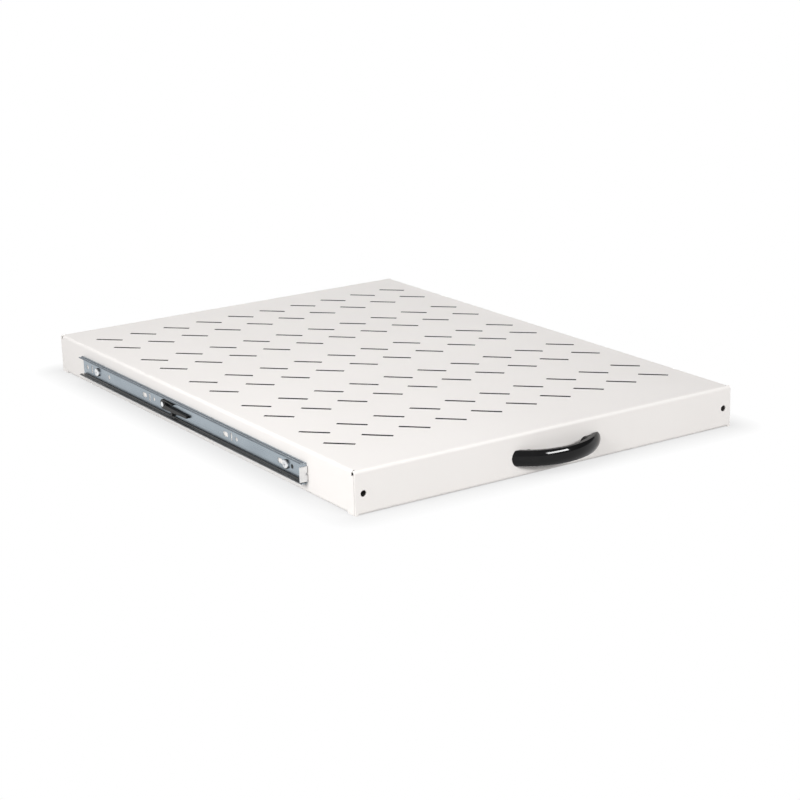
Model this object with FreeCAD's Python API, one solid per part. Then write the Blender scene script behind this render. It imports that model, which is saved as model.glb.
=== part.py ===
import FreeCAD, Part
import math
import os

V = FreeCAD.Vector

# Sliding rack shelf, in millimetres. X is across, Y runs from the front to the rear, Z is up.
# While it is built, the tray's front face is at Y = 0 and its lower rim at Z = 0.

# Tray, folded from one sheet
TRAY_WIDTH = 420.0
TRAY_HEIGHT = 40.0
TRAY_BEHIND_RAIL = 57.0
SHEET = 1.5
BEND_RADIUS = 3.0
LIP_WIDTH = 12.0
CORNER_GAP = 0.4
CORNER_RELIEF = 1.6

# Ventilation slots, set in pairs of rows
SLOT_LENGTH = 28.5
SLOT_WIDTH = 3.4
SLOT_ANGLE = -45.0
SLOT_COLUMNS = 10
SLOT_MARGIN = 31.8
ROW_PAIRS = 5
ROW_PITCH = 42.2
FIRST_ROW = 74.9
LAST_ROW = 53.7

# Two plain holes near the ends of the front panel
FRONT_HOLE = 5.8
FRONT_HOLE_INSET = 8.6
FRONT_HOLE_DROP = 21.0

# Slide rail, the shelf's half of a ball-bearing slide, rolled from strip
RAIL_LENGTH = 457.0
RAIL_SETBACK = 76.0
RAIL_DROP = 21.5
RAIL_STRIP = 1.2
RAIL_HEIGHT = 20.6
RAIL_BEND = 1.5
GROOVE_RADIUS = 1.6
FLARE_ANGLE = 40.0
RAIL_LIP = 0.4

# Bent stop tab at the rail's front end
TAB_HEIGHT = 14.0
TAB_REACH = 8.6
TAB_BEND = 1.4
TAB_TRIM = 2.4
TAB_NOTCH = 2.6

# Openings in the rail's web: three stations measured from the rail's front end, the rest from its rear end
STATIONS = (26.0, 127.0, 294.0)
STATION_HOLE = 4.2
UPRIGHT_SLOT_OFFSET = 9.5
UPRIGHT_SLOT_WIDTH = 2.8
UPRIGHT_SLOT_HEIGHT = 8.0
LONG_SLOT_OFFSET = 20.8
LONG_SLOT_LENGTH = 9.0
LONG_SLOT_HEIGHT = 4.6
REAR_HOLE = 4.8
REAR_HOLE_INSETS = (61.0, 9.4)
REAR_UPRIGHT_INSET = 20.8

# Screws that hold the rail on the tray's side, and their nuts and washers
FRONT_SCREW_INSET = 35.5
REAR_SCREW_INSET = 35.2
SCREW_SIZE = 4.0
SCREW_LENGTH = 8.0
HEAD_DIAMETER = 9.0
HEAD_HEIGHT = 2.6
RECESS_SPAN = 4.2
RECESS_WIDTH = 0.9
RECESS_DEPTH = 1.3
SCREW_CLEARANCE = 0.25
THREAD_CLEARANCE = 0.05
WASHER_DIAMETER = 10.0
WASHER_THICKNESS = 0.8
NUT_ACROSS_FLATS = 7.0
NUT_HEIGHT = 3.2
# Flats in place of a true round on these small pieces, which keeps the repeated ones light
ROUND_FLAT_COUNT = 24

# Release lever, a plastic arm on a rivet inside the rail
LEVER_PIVOT = 269.5
LEVER_PIVOT_RISE = 1.4
LEVER_EYE = 10.0
LEVER_ARM = 49.5
LEVER_ROOT_HEIGHT = 5.0
LEVER_TIP_HEIGHT = 2.6
LEVER_TIP_DROP = 2.4
LEVER_THICKNESS = 2.7
LEVER_CLEARANCE = 0.3
FINGER_LENGTH = 19.5
FINGER_STRIP = 1.4
FINGER_FALL = 1.0
HEEL_OFFSET = 17.5
HEEL_WIDTH = 3.6
HEEL_DROP = 8.4
RIVET_SIZE = 4.0
RIVET_FIT = 0.02
PIVOT_CLEARANCE = 0.05
RIVET_HEAD = 5.2
RIVET_HEAD_HEIGHT = 0.6

# Bow handle on the front panel
HANDLE_LENGTH = 100.0
HANDLE_REACH = 22.0
HANDLE_HEIGHT = 14.5
HANDLE_THICKNESS = 6.5
HANDLE_CROWN = 2.6
HANDLE_DROP = 21.8
HANDLE_OFFSET = 3.3
HANDLE_CENTRES = 64.0
BOSS_DIAMETER = 11.6
HANDLE_SCREW_LENGTH = 12.0

# Places that follow from the sizes above
TRAY_DEPTH = RAIL_SETBACK + RAIL_LENGTH + TRAY_BEHIND_RAIL
SLOT_PITCH = (TRAY_WIDTH - 2 * SLOT_MARGIN) / (SLOT_COLUMNS - 1)
PAIR_PITCH = (TRAY_DEPTH - FIRST_ROW - ROW_PITCH - LAST_ROW) / (ROW_PAIRS - 1)
SIDE = TRAY_WIDTH / 2
RAIL_Z = TRAY_HEIGHT - RAIL_DROP
HANDLE_Z = TRAY_HEIGHT - HANDLE_DROP
RAIL_SCREWS = (FRONT_SCREW_INSET, RAIL_LENGTH - REAR_SCREW_INSET)
LEVER_Y = RAIL_SETBACK + LEVER_PIVOT
LEVER_Z = RAIL_Z + LEVER_PIVOT_RISE
# Cutters reach this many wall thicknesses
THROUGH = 4
# The origin lies under the middle of the whole shelf, handle included
ORIGIN_SHIFT = V(0, (HANDLE_REACH - TRAY_DEPTH) / 2, 0)


def bent_strip(start, heading, moves, thickness, place):
    """Face of a strip of sheet along a middle line of straight runs and round bends.

    A move is (length,) for a run or (middle radius, turn in degrees) for a bend, with a left turn
    positive. place turns a flat point into a point in space.
    """
    edges = []
    ends = {}
    for offset in (thickness / 2, -thickness / 2):
        x, y = start
        angle = math.radians(heading)
        points = [place(x - offset * math.sin(angle), y + offset * math.cos(angle))]
        for move in moves:
            if len(move) == 1:
                x += move[0] * math.cos(angle)
                y += move[0] * math.sin(angle)
                points.append(place(x - offset * math.sin(angle), y + offset * math.cos(angle)))
                edges.append(Part.LineSegment(points[-2], points[-1]).toShape())
                continue
            radius, turn = move
            sign = math.copysign(1, turn)
            centre_x = x - sign * radius * math.sin(angle)
            centre_y = y + sign * radius * math.cos(angle)
            swing = math.radians(turn)
            reach = sign * (radius - sign * offset)
            middle, angle = angle + swing / 2, angle + swing
            half_way = place(centre_x + reach * math.sin(middle), centre_y - reach * math.cos(middle))
            points.append(place(centre_x + reach * math.sin(angle), centre_y - reach * math.cos(angle)))
            edges.append(Part.Arc(points[-2], half_way, points[-1]).toShape())
            x = centre_x + sign * radius * math.sin(angle)
            y = centre_y - sign * radius * math.cos(angle)
        ends[offset] = (points[0], points[-1])
    near, far = ends.values()
    edges += [Part.LineSegment(a, b).toShape() for a, b in zip(near, far)]
    return Part.Face(Part.Wire(Part.__sortEdges__(edges)))


def box(low, high):
    """Box between two corners."""
    low = V(*low)
    size = V(*high) - low
    return Part.makeBox(size.x, size.y, size.z, low)


def fuse(shapes):
    """One solid from touching or overlapping shapes, without inner seams."""
    return shapes[0].multiFuse(shapes[1:]).removeSplitter()


def sideways(shape):
    """Turn what stands along Z so that its top faces out of the left side."""
    shape.rotate(V(0, 0, 0), V(0, 1, 0), -90)
    return shape


def to_rear(shape):
    """Turn what stands along Z so that its top faces the rear."""
    shape.rotate(V(0, 0, 0), V(1, 0, 0), -90)
    return shape


def to_right(shape):
    """The same piece on the right side: the slides are alike, so one is the other turned over."""
    turned = shape.copy()
    turned.rotate(V(0, 0, RAIL_Z), V(0, 1, 0), 180)
    return turned


def pin_hole(diameter, depth, centre):
    """Round cutter along Y through centre."""
    return Part.makeCylinder(diameter / 2, depth, V(*centre) - V(0, depth / 2, 0), V(0, 1, 0))


def side_hole(diameter, depth, centre):
    """Round cutter along X through centre."""
    return Part.makeCylinder(diameter / 2, depth, V(*centre) - V(depth / 2, 0, 0), V(1, 0, 0))


# Tray

def tray_folds():
    """The folded sheet before any hole: deck, four sides and four inward lips."""
    middle = BEND_RADIUS - SHEET / 2
    upright = TRAY_HEIGHT - 2 * BEND_RADIUS
    lip = LIP_WIDTH - BEND_RADIUS
    fold = (middle, -90)
    front_to_rear = bent_strip(
        (LIP_WIDTH, SHEET / 2), 180,
        [(lip,), fold, (upright,), fold, (TRAY_DEPTH - 2 * BEND_RADIUS,), fold, (upright,), fold, (lip,)],
        SHEET, lambda a, b: V(BEND_RADIUS - SIDE, a, b))
    relief_end = BEND_RADIUS + CORNER_RELIEF
    side_to_side = bent_strip(
        (SHEET / 2 - SIDE, BEND_RADIUS), 90,
        [(upright,), fold, (TRAY_WIDTH - 2 * BEND_RADIUS,), fold, (upright,)],
        SHEET, lambda a, b: V(a, relief_end, b))
    pieces = [
        front_to_rear.extrude(V(TRAY_WIDTH - 2 * BEND_RADIUS, 0, 0)),
        side_to_side.extrude(V(0, TRAY_DEPTH - 2 * relief_end, 0)),
    ]
    lip_end = LIP_WIDTH + CORNER_GAP
    side_lip = bent_strip(
        (LIP_WIDTH - SIDE, SHEET / 2), 180, [(lip,), fold], SHEET, lambda a, b: V(a, lip_end, b))
    panel_end = bent_strip(
        (SHEET / 2, 0), 90, [(TRAY_HEIGHT - BEND_RADIUS,), fold], SHEET, lambda a, b: V(-SIDE, a, b))
    corners = [
        panel_end.extrude(V(BEND_RADIUS, 0, 0)),
        box((-SIDE, SHEET + CORNER_GAP, 0), (SHEET - SIDE, lip_end, TRAY_HEIGHT - relief_end)),
    ]
    left = [side_lip.extrude(V(0, TRAY_DEPTH - 2 * lip_end, 0))] + corners
    left += [corner.mirror(V(0, TRAY_DEPTH / 2, 0), V(0, 1, 0)) for corner in corners]
    right = [piece.mirror(V(0, 0, 0), V(1, 0, 0)) for piece in left]
    return fuse(pieces + left + right)


def deck_slots():
    """Slanted slots in rows that stand in pairs."""
    reach = V(SLOT_LENGTH, SLOT_WIDTH, THROUGH * SHEET) / 2
    slot = box(-reach, reach)
    slot.rotate(V(0, 0, 0), V(0, 0, 1), SLOT_ANGLE)
    slots = []
    first_column = SLOT_MARGIN - SIDE
    for row in range(2 * ROW_PAIRS):
        y = FIRST_ROW + (row // 2) * PAIR_PITCH + (row % 2) * ROW_PITCH
        for column in range(SLOT_COLUMNS):
            copy = slot.copy()
            copy.translate(V(first_column + column * SLOT_PITCH, y, TRAY_HEIGHT - SHEET / 2))
            slots.append(copy)
    return slots


def tray_holes():
    """Round holes for the handle, the rails and the front panel's ends."""
    deep = THROUGH * SHEET
    bolt = SCREW_SIZE + 2 * SCREW_CLEARANCE
    holes = []
    for side in (-1, 1):
        inset = SIDE - FRONT_HOLE_INSET
        holes.append(pin_hole(FRONT_HOLE, deep, (side * inset, SHEET / 2, TRAY_HEIGHT - FRONT_HOLE_DROP)))
        boss = HANDLE_OFFSET + side * HANDLE_CENTRES / 2
        holes.append(pin_hole(bolt, deep, (boss, SHEET / 2, HANDLE_Z)))
        wall = side * (SIDE - SHEET / 2)
        for offset in RAIL_SCREWS:
            holes.append(side_hole(bolt, deep, (wall, RAIL_SETBACK + offset, RAIL_Z)))
        holes.append(side_hole(STATION_HOLE, deep, (wall, RAIL_SETBACK + STATIONS[0], RAIL_Z)))
    return holes


def tray():
    """Folded tray with its slots and holes."""
    return tray_folds().cut(Part.makeCompound(deck_slots() + tray_holes()))


# Slide rail

def rail_section():
    """Half of the rail's section: web, round shoulder, ball groove and flared lip."""
    half_strip = RAIL_STRIP / 2
    shoulder = RAIL_HEIGHT / 2 - RAIL_BEND - half_strip
    groove = GROOVE_RADIUS + half_strip
    return bent_strip(
        (half_strip, 0), 90,
        [(shoulder,), (RAIL_BEND, -90 - FLARE_ANGLE), (groove, 2 * FLARE_ANGLE), (RAIL_LIP,)],
        RAIL_STRIP, lambda out, up: V(-SIDE - out, RAIL_SETBACK + TAB_TRIM, RAIL_Z + up))


def rail_tab():
    """Tongue of the web that is bent out across the rail's front end."""
    half_strip = RAIL_STRIP / 2
    root = TAB_TRIM + RAIL_STRIP
    tongue = bent_strip(
        (RAIL_SETBACK + root, half_strip), 180,
        [(root - half_strip - TAB_BEND,), (TAB_BEND, -90), (TAB_REACH - half_strip - TAB_BEND,)],
        RAIL_STRIP, lambda along, out: V(-SIDE - out, along, RAIL_Z - TAB_HEIGHT / 2))
    tab = tongue.extrude(V(0, 0, TAB_HEIGHT))
    notch = box((-SIDE - TAB_BEND - RAIL_STRIP, RAIL_SETBACK - RAIL_STRIP, RAIL_Z - TAB_NOTCH / 2),
                (-SIDE + RAIL_STRIP, RAIL_SETBACK + TAB_BEND + RAIL_STRIP, RAIL_Z + TAB_NOTCH / 2))
    return tab.cut(notch)


def web_openings():
    """Holes and slots along the rail's web."""
    deep = THROUGH * RAIL_STRIP
    web = -SIDE - RAIL_STRIP / 2
    bolt = SCREW_SIZE + 2 * SCREW_CLEARANCE
    upright = V(deep, UPRIGHT_SLOT_WIDTH, UPRIGHT_SLOT_HEIGHT) / 2
    along = V(deep, LONG_SLOT_LENGTH, LONG_SLOT_HEIGHT) / 2
    openings = [side_hole(bolt, deep, (web, RAIL_SETBACK + offset, RAIL_Z)) for offset in RAIL_SCREWS]
    rail_end = RAIL_SETBACK + RAIL_LENGTH
    openings += [side_hole(REAR_HOLE, deep, (web, rail_end - inset, RAIL_Z)) for inset in REAR_HOLE_INSETS]
    openings.append(side_hole(RIVET_SIZE + 2 * RIVET_FIT, deep, (web, LEVER_Y, LEVER_Z)))
    uprights = [rail_end - REAR_UPRIGHT_INSET]
    uprights += [RAIL_SETBACK + station + UPRIGHT_SLOT_OFFSET for station in STATIONS[1:]]
    for station in STATIONS:
        openings.append(side_hole(STATION_HOLE, deep, (web, RAIL_SETBACK + station, RAIL_Z)))
        middle = V(web, RAIL_SETBACK + station + LONG_SLOT_OFFSET, RAIL_Z)
        openings.append(box(middle - along, middle + along))
    for y in uprights:
        middle = V(web, y, RAIL_Z)
        openings.append(box(middle - upright, middle + upright))
    return openings


def rail():
    """Left slide rail."""
    upper = rail_section().extrude(V(0, RAIL_LENGTH - TAB_TRIM, 0))
    lower = upper.mirror(V(0, 0, RAIL_Z), V(0, 0, 1))
    return fuse([upper, lower, rail_tab()]).cut(Part.makeCompound(web_openings()))


# Release lever

def lever():
    """Left release lever: eye, tapered arm, spring finger above it and heel below it."""
    eye_radius = LEVER_EYE / 2
    inner = RAIL_STRIP + LEVER_CLEARANCE

    def place(forward, up):
        return V(-SIDE - inner, LEVER_Y - forward, LEVER_Z + up)

    eye = Part.makeCylinder(eye_radius, LEVER_THICKNESS, place(0, 0), V(-1, 0, 0))
    root_middle = -eye_radius + LEVER_ROOT_HEIGHT / 2
    tip_middle = -LEVER_TIP_DROP
    tip_radius = LEVER_TIP_HEIGHT / 2
    tip_top = place(LEVER_ARM - tip_radius, tip_middle + tip_radius)
    tip_low = place(LEVER_ARM - tip_radius, tip_middle - tip_radius)
    root_top = place(0, root_middle + LEVER_ROOT_HEIGHT / 2)
    root_low = place(0, root_middle - LEVER_ROOT_HEIGHT / 2)
    outline = [
        Part.LineSegment(root_low, tip_low).toShape(),
        Part.Arc(tip_low, place(LEVER_ARM, tip_middle), tip_top).toShape(),
        Part.LineSegment(tip_top, root_top).toShape(),
        Part.LineSegment(root_top, root_low).toShape(),
    ]
    arm = Part.Face(Part.Wire(outline)).extrude(V(-LEVER_THICKNESS, 0, 0))
    fall = math.degrees(math.atan2(FINGER_FALL, FINGER_LENGTH))
    finger = bent_strip(
        (0, eye_radius - FINGER_STRIP / 2), -fall, [(FINGER_LENGTH,)], FINGER_STRIP, place)
    finger = finger.extrude(V(-LEVER_THICKNESS, 0, 0))
    heel_low = place(HEEL_OFFSET + HEEL_WIDTH / 2, -HEEL_DROP) - V(LEVER_THICKNESS, 0, 0)
    heel = box(heel_low, place(HEEL_OFFSET - HEEL_WIDTH / 2, root_middle))
    bore = side_hole(RIVET_SIZE + 2 * PIVOT_CLEARANCE, THROUGH * LEVER_THICKNESS, place(0, 0))
    return fuse([eye, arm, finger, heel]).cut(bore)


def lever_rivet():
    """Shouldered rivet that carries the left lever, closed flush with the back of the web."""
    stack = RAIL_STRIP + 2 * LEVER_CLEARANCE + LEVER_THICKNESS
    shank = Part.makeCylinder(RIVET_SIZE / 2, stack)
    head = Part.makeCylinder(RIVET_HEAD / 2, RIVET_HEAD_HEIGHT, V(0, 0, stack))
    rivet = sideways(fuse([shank, head]))
    rivet.translate(V(-SIDE, LEVER_Y, LEVER_Z))
    return rivet


# Fasteners, made standing along Z with the seat of the head at Z = 0

def prism(sides, radius, bottom, top):
    """Upright prism about Z, by the radius of its corners."""
    turns = [2 * math.pi * k / sides for k in range(sides + 1)]
    corners = [V(radius * math.cos(turn), radius * math.sin(turn), bottom) for turn in turns]
    return Part.Face(Part.makePolygon(corners)).extrude(V(0, 0, top - bottom))


def screw(length):
    """Pan-head screw with a cross recess."""
    shank = prism(ROUND_FLAT_COUNT, SCREW_SIZE / 2, -length, 0)
    head = prism(ROUND_FLAT_COUNT, HEAD_DIAMETER / 2, 0, HEAD_HEIGHT)
    reach = RECESS_SPAN / 2
    half = RECESS_WIDTH / 2
    floor = HEAD_HEIGHT - RECESS_DEPTH
    arms = [box((-reach, -half, floor), (reach, half, HEAD_HEIGHT)),
            box((-half, -reach, floor), (half, reach, HEAD_HEIGHT))]
    return fuse([shank, head]).cut(fuse(arms))


def washer():
    """Flat washer on Z = 0."""
    disc = prism(ROUND_FLAT_COUNT, WASHER_DIAMETER / 2, 0, WASHER_THICKNESS)
    return disc.cut(prism(ROUND_FLAT_COUNT, SCREW_SIZE / 2 + SCREW_CLEARANCE, 0, WASHER_THICKNESS))


def nut():
    """Hexagon nut on Z = 0."""
    block = prism(6, NUT_ACROSS_FLATS / math.sqrt(3), 0, NUT_HEIGHT)
    return block.cut(prism(ROUND_FLAT_COUNT, SCREW_SIZE / 2 + THREAD_CLEARANCE, 0, NUT_HEIGHT))


def rail_fasteners(offset):
    """Screw, washer and nut at one place along the left rail."""
    y = RAIL_SETBACK + offset
    held = sideways(screw(SCREW_LENGTH))
    held.translate(V(-SIDE - RAIL_STRIP, y, RAIL_Z))
    spread = sideways(washer())
    spread.translate(V(SHEET + WASHER_THICKNESS - SIDE, y, RAIL_Z))
    tight = sideways(nut())
    tight.translate(V(SHEET + WASHER_THICKNESS + NUT_HEIGHT - SIDE, y, RAIL_Z))
    return {"screw": held, "washer": spread, "nut": tight}


# Handle

def handle():
    """Bow handle: an arched bar with a crowned front, on two bosses that ribs join to its ends."""
    chord = HANDLE_LENGTH / 2
    radius = (chord ** 2 + HANDLE_REACH ** 2) / (2 * HANDLE_REACH)
    axis = V(HANDLE_OFFSET, radius - HANDLE_REACH, HANDLE_Z)
    half_height = HANDLE_HEIGHT / 2
    rim = radius - HANDLE_CROWN
    inner = radius - HANDLE_THICKNESS
    inner_low, low, top, inner_top = [
        axis + V(out, 0, up) for out, up in
        ((inner, -half_height), (rim, -half_height), (rim, half_height), (inner, half_height))]
    section = [
        Part.LineSegment(inner_low, low).toShape(),
        Part.Arc(low, axis + V(radius, 0, 0), top).toShape(),
        Part.LineSegment(top, inner_top).toShape(),
        Part.LineSegment(inner_top, inner_low).toShape(),
    ]
    ring = Part.Face(Part.Wire(section)).revolve(axis, V(0, 0, 1), 360)
    in_front = box(axis - V(radius, 2 * radius, half_height), V(axis.x + radius, 0, axis.z + half_height))
    bow = ring.common(in_front)
    foot_radius = BOSS_DIAMETER / 2
    room = Part.makeCylinder(inner + HANDLE_CROWN, BOSS_DIAMETER, axis - V(0, 0, foot_radius))
    depth = HANDLE_SCREW_LENGTH - SHEET - WASHER_THICKNESS
    feet = []
    bores = []
    for side in (-1, 1):
        seat = V(axis.x + side * HANDLE_CENTRES / 2, 0, HANDLE_Z)
        boss = Part.makeCylinder(foot_radius, HANDLE_REACH, seat, V(0, -1, 0))
        rib = box((min(seat.x, seat.x + side * chord), -HANDLE_REACH, HANDLE_Z - foot_radius),
                  (max(seat.x, seat.x + side * chord), 0, HANDLE_Z + foot_radius))
        feet += [boss.common(room), rib.common(room)]
        bores.append(Part.makeCylinder(SCREW_SIZE / 2 + THREAD_CLEARANCE, depth, seat, V(0, -1, 0)))
    return fuse([bow] + feet).cut(Part.makeCompound(bores))


def handle_fasteners(side):
    """Screw and washer behind the front panel, into one boss of the handle."""
    place = V(HANDLE_OFFSET + side * HANDLE_CENTRES / 2, SHEET, HANDLE_Z)
    spread = to_rear(washer())
    spread.translate(place)
    held = to_rear(screw(HANDLE_SCREW_LENGTH))
    held.translate(place + V(0, WASHER_THICKNESS, 0))
    return {"handle_screw": held, "handle_washer": spread}


# The whole shelf

def shelf():
    """Every piece by its name."""
    pieces = {"tray": tray(), "handle": handle()}
    for name, side in (("left", -1), ("right", 1)):
        for kind, piece in handle_fasteners(side).items():
            pieces[f"{name}_{kind}"] = piece
    left = {"rail": rail(), "release_lever": lever(), "lever_rivet": lever_rivet()}
    for end, offset in zip(("front", "rear"), RAIL_SCREWS):
        for kind, piece in rail_fasteners(offset).items():
            left[f"{end}_rail_{kind}"] = piece
    for name, piece in left.items():
        pieces[f"left_{name}"] = piece
        pieces[f"right_{name}"] = to_right(piece)
    return pieces


os.makedirs("parts", exist_ok=True)
for name, piece in shelf().items():
    piece.translate(ORIGIN_SHIFT)
    piece.exportStep(f"parts/{name}.step")
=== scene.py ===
import math

import bmesh
import bpy
from mathutils import Matrix, Vector
from mathutils.geometry import delaunay_2d_cdt


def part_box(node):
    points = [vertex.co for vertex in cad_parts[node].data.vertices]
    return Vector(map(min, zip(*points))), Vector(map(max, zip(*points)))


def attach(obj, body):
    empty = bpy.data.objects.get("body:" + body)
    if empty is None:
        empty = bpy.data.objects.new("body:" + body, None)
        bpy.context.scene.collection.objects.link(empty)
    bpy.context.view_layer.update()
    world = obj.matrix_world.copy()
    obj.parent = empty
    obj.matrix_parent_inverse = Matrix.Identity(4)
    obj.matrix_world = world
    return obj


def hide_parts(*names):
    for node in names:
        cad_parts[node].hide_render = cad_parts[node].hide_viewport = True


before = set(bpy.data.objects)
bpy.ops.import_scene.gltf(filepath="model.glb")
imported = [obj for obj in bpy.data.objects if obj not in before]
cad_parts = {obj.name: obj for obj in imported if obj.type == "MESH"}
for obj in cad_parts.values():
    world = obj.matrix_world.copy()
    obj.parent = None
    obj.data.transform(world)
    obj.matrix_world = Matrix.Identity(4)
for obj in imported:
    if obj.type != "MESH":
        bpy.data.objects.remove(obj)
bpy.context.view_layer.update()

# Sizes of the object are in millimetres, and MM turns them into metres when a mesh is made.
# The camera and the studio are in metres.
MM = 0.001

# Camera
CAMERA_PLACE = Vector((-1.0548, -1.6601, 0.5736))
CAMERA_TARGET = Vector((0.0124, -0.0145, 0.0))
CAMERA_ROLL = math.radians(-1.565)
CAMERA_LENS = 91.43
SENSOR_WIDTH = 36.0

# Tray, folded from one sheet
SHEET = 1.5
BEND_RADIUS = 3.0
LIP_WIDTH = 12.0
CORNER_GAP = 0.4
CORNER_RELIEF = 1.6
EDGE_BREAK = 0.2

# Ventilation slots, set in pairs of rows
SLOT_LENGTH = 28.5
SLOT_WIDTH = 3.4
SLOT_ANGLE = math.radians(-45)
SLOT_COLUMNS = 10
SLOT_MARGIN = 31.8
ROW_PAIRS = 5
ROW_PITCH = 42.2
FIRST_ROW = 74.9
LAST_ROW = 53.7

# Round holes in the tray and the rails
FRONT_HOLE = 5.8
FRONT_HOLE_INSET = 8.6
FRONT_HOLE_RISE = 19.0
SCREW_HOLE = 4.5
STATION_HOLE = 4.2
RIVET_HOLE = 4.04
REAR_HOLE = 4.8

# Slide rail
RAIL_STRIP = 1.2
RAIL_BEND = 1.5
GROOVE_RADIUS = 2.2
FLARE_ANGLE = 40.0
RAIL_LIP = 0.4
TAB_HEIGHT = 14.0
TAB_REACH = 8.6
TAB_BEND = 1.4
TAB_TRIM = 2.4
TAB_NOTCH = 2.6
STATIONS = (26.0, 127.0, 294.0)
UPRIGHT_SLOT_OFFSET = 9.5
UPRIGHT_SLOT = (2.8, 8.0)
LONG_SLOT_OFFSET = 20.8
LONG_SLOT = (9.0, 4.6)
REAR_HOLE_INSETS = (61.0, 9.4)
REAR_UPRIGHT_INSET = 20.8

# Release lever, seen from the left with its front end at the positive end of the first axis
LEVER_THICKNESS = 2.7
LEVER_EYE = 10.0
LEVER_ARM = 49.5
LEVER_TIP_HEIGHT = 2.6
LEVER_TIP_DROP = 2.4
FINGER_LENGTH = 19.5
FINGER_STRIP = 1.4
FINGER_FALL = 1.0
HEEL_FRONT = 19.3
HEEL_REAR = 15.7
HEEL_DROP = 8.4
LEVER_BORE = 4.1
LEVER_EDGE = 0.35

# Fasteners
SCREW_SIZE = 4.0
THREAD_PITCH = 0.7
THREAD_DEPTH = 0.38
THREAD_STEPS = 6
HEAD_DIAMETER = 9.0
HEAD_HEIGHT = 2.6
HEAD_EDGE = 1.0
RECESS_RIM = 2.5
RECESS_SPAN = 4.2
RECESS_WIDTH = 0.9
RECESS_DEPTH = 1.3
RECESS_TAPER = 0.7
RIVET_SIZE = 4.0
RIVET_HEAD = 5.2
RIVET_HEAD_HEIGHT = 0.6
RIVET_EDGE = 0.25
RIVET_DOME = 0.1
WASHER_BORE = 4.5
NUT_ACROSS_FLATS = 7.0
NUT_CHAMFER = 0.5

# Bow handle
HANDLE_THICKNESS = 6.5
HANDLE_CROWN = 2.6
HANDLE_CENTRES = 64.0
HANDLE_EDGE = 0.7
BOSS_DIAMETER = 11.6
BORE_DEPTH = 9.7

# Fineness of round forms
ROUND_STEP = math.radians(7.5)
LATHE_SIDES = 48
BOW_STEPS = 96
CROWN_STEPS = 6
# Even border of faces round a hole, so that its edge can be softened cleanly
HOLE_RIM = 0.6
# Points of a sheet that lie closer than this are one point
JOIN_DISTANCE = 0.02
FLAT_TOLERANCE = 1e-4
# Folds sharper than this are edges
SHEET_EDGE_ANGLE = math.radians(40)
TURNED_EDGE_ANGLE = math.radians(35)
# How far a cutting form reaches past the surface it cuts
CUT_MARGIN = 1.0
BOW_OVERRUN = 1.1

# Places of the materials on the tray and the rails, after the main one
# CUT_FACE holds painted shade on the tray's cut walls and a painted highlight on the rails' tab and punched
# walls; GROOVE_FACE holds painted shade in the rails' grooves.
CUT_FACE = 1
GROOVE_FACE = 2
# Share of a face's direction along an axis, which tells a cut wall from flat sheet
LEVEL_SHARE = 0.95
CROSS_SHARE = 0.5
UPRIGHT_SHARE = 0.3

# Patterns in the materials
NOISE_LOW = 0.3
NOISE_HIGH = 0.7
BUMP_STRENGTH = 0.6


# Mesh tools

def node_box(node):
    """Lowest and highest corner of a node, in millimetres."""
    low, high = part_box(node)
    return low / MM, high / MM


def node_centre(node):
    """Middle of a node, in millimetres."""
    low, high = node_box(node)
    return (low + high) / 2


def length_along(node, axis):
    """Length of a node along an axis, in millimetres."""
    low, high = node_box(node)
    return abs((high - low).dot(axis))


def stand_at(place, axis):
    """Matrix that puts local Z along an axis, from a place."""
    return Matrix.Translation(place) @ axis.to_track_quat("Z", "Y").to_matrix().to_4x4()


def look_at(place, target):
    """Matrix of a lamp or a camera that faces a target from a place."""
    return Matrix.Translation(place) @ (target - place).to_track_quat("-Z", "Y").to_matrix().to_4x4()


def make_piece(node, body, bm, materials):
    """Object for a node, from a mesh in millimetres in the shared frame."""
    bmesh.ops.scale(bm, vec=(MM, MM, MM), verts=bm.verts)
    mesh = bpy.data.meshes.new(f"{node}_piece")
    bm.to_mesh(mesh)
    bm.free()
    for material in materials:
        mesh.materials.append(material)
    piece = bpy.data.objects.new(f"{node}_piece", mesh)
    bpy.context.scene.collection.objects.link(piece)
    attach(piece, body)
    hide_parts(node)
    return piece


def modify(piece, kind, **settings):
    """Add a modifier and work it into the mesh."""
    modifier = piece.modifiers.new(kind.lower(), kind)
    for name, value in settings.items():
        setattr(modifier, name, value)
    graph = bpy.context.evaluated_depsgraph_get()
    mesh = bpy.data.meshes.new_from_object(piece.evaluated_get(graph))
    old = piece.data
    piece.modifiers.clear()
    piece.data = mesh
    bpy.data.meshes.remove(old)


def bevel(piece, width, segments, edge_angle):
    """Small round, of a width in millimetres, on folds sharper than an angle."""
    modify(piece, "BEVEL", width=width * MM, segments=segments, limit_method="ANGLE",
           angle_limit=edge_angle)


def shade_round(piece, edge_angle):
    """Smooth shading that breaks at folds sharper than an angle."""
    piece.data.shade_smooth()
    piece.data.set_sharp_from_angle(angle=edge_angle)


def soften_edges(piece, width, segments=2):
    """Small round on a sheet's edges, and smooth shading that keeps flat faces flat."""
    bevel(piece, width, segments, SHEET_EDGE_ANGLE)
    shade_round(piece, SHEET_EDGE_ANGLE)
    modify(piece, "WEIGHTED_NORMAL", weight=100, keep_sharp=True)


def arc(centre, radius, start, end):
    """Points along a round, with angles in degrees."""
    first = math.radians(start)
    swing = math.radians(end) - first
    steps = max(2, round(abs(swing) / ROUND_STEP))
    angles = [first + swing * k / steps for k in range(steps + 1)]
    return [(centre[0] + radius * math.cos(a), centre[1] + radius * math.sin(a)) for a in angles]


def circle(centre, diameter):
    """Closed round outline."""
    return arc(centre, diameter / 2, 0, 360)[:-1]


def obround(centre, width, height):
    """Round-ended outline, along its longer side."""
    radius = min(width, height) / 2
    across = width / 2 - radius
    up = height / 2 - radius
    x, y = centre
    if across > 0:
        return arc((x + across, y), radius, -90, 90) + arc((x - across, y), radius, 90, 270)
    return arc((x, y + up), radius, 0, 180) + arc((x, y - up), radius, 180, 360)


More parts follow.
